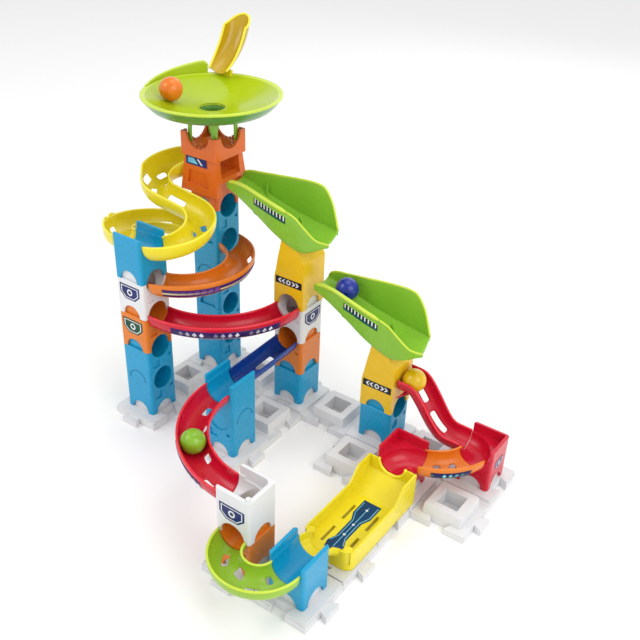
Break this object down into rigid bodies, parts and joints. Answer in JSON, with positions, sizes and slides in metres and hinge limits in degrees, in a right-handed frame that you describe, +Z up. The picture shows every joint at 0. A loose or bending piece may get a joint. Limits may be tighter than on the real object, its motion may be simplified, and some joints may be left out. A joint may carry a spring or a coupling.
{
  "type": "marble run",
  "caption": "Toy marble run: block towers on jigsaw base plates carry a funnel bowl, curved tracks, two rocking trays and a catch tray.",
  "frame": {"origin": "middle of the outline in X and Y, at the underside of the base plates", "axes": "+Z up; +X along the longest side, from the bowl tower towards the wave slide's corner block; +Y towards the row that holds the bowl tower and both tippers"},
  "size_m": [0.4567, 0.3856, 0.3837],
  "materials": {
    "white_plastic": "smooth moulded",
    "blue_plastic": "smooth moulded",
    "orange_plastic": "smooth moulded",
    "yellow_plastic": "smooth moulded",
    "green_plastic": "smooth moulded",
    "red_plastic": "smooth moulded",
    "navy_blue_plastic": "smooth moulded",
    "grey_plastic": "smooth moulded",
    "orange_marble": "smooth moulded",
    "green_marble": "smooth moulded",
    "blue_marble": "smooth moulded",
    "yellow_marble": "smooth moulded"
  },
  "bodies": {
    "run": {"base_plate_1": "white_plastic", "base_plate_2": "white_plastic", "base_plate_3": "white_plastic", "base_plate_4": "white_plastic", "base_plate_5": "white_plastic", "base_plate_6": "white_plastic", "base_plate_7": "white_plastic", "base_plate_8": "white_plastic", "base_plate_9": "white_plastic", "drop_tower_lower": "blue_plastic", "drop_tower_orange": "orange_plastic", "drop_tower_white": "white_plastic", "drop_tower_trough": "blue_plastic", "bowl_tower_lower": "blue_plastic", "bowl_tower_middle": "blue_plastic", "bowl_tower_upper": "blue_plastic", "director": "orange_plastic", "crown": "orange_plastic", "bowl": "green_plastic", "entry_chute": "yellow_plastic", "bend_tower": "blue_plastic", "tipper_tower_1_blue": "blue_plastic", "tipper_tower_1_orange": "orange_plastic", "tipper_tower_1_white": "white_plastic", "tipper_support_1": "yellow_plastic", "tipper_tower_2_blue": "blue_plastic", "tipper_support_2": "yellow_plastic", "pivot_pin_1": "grey_plastic", "pivot_pin_2": "grey_plastic", "lane_corner": "red_plastic", "slide_corner": "red_plastic", "cup_tower_orange": "orange_plastic", "cup_tower_cup": "white_plastic", "lane_trough": "blue_plastic", "orange_bend": "orange_plastic", "red_bend_1": "red_plastic", "red_bend_2": "red_plastic", "green_bend": "green_plastic", "orange_quarter": "orange_plastic", "blue_slide": "navy_blue_plastic", "yellow_bend": "yellow_plastic", "s_slide": "yellow_plastic", "wave_slide": "red_plastic", "catch_lane": "yellow_plastic"},
    "upper_tipper": {"tipper_tray_1": "green_plastic"},
    "lower_tipper": {"tipper_tray_2": "green_plastic"},
    "orange_marble": {"marble_orange": "orange_marble"},
    "green_marble": {"marble_green": "green_marble"},
    "blue_marble": {"marble_blue": "blue_marble"},
    "yellow_marble": {"marble_yellow": "yellow_marble"}
  },
  "joints": [
    {"name": "upper_tipper_hinge", "type": "hinge", "parent": "run", "child": "upper_tipper", "pos_m": [-0.03478, 0.09668, 0.206], "axis": [0, -1, 0], "range_deg": [0, 12]},
    {"name": "lower_tipper_hinge", "type": "hinge", "parent": "run", "child": "lower_tipper", "pos_m": [0.07863, 0.09668, 0.126], "axis": [0, -1, 0], "range_deg": [0, 12]},
    {"name": "orange_marble_lift", "type": "slide", "parent": "run", "child": "orange_marble", "axis": [0, 0, 1], "range_m": [0, 0.05]},
    {"name": "green_marble_lift", "type": "slide", "parent": "run", "child": "green_marble", "axis": [0, 0, 1], "range_m": [0, 0.05]},
    {"name": "blue_marble_lift", "type": "slide", "parent": "lower_tipper", "child": "blue_marble", "axis": [0, 0, 1], "range_m": [0, 0.03]},
    {"name": "yellow_marble_roll", "type": "slide", "parent": "run", "child": "yellow_marble", "axis": [1, 0, 0], "range_m": [0, 0.1]}
  ]
}
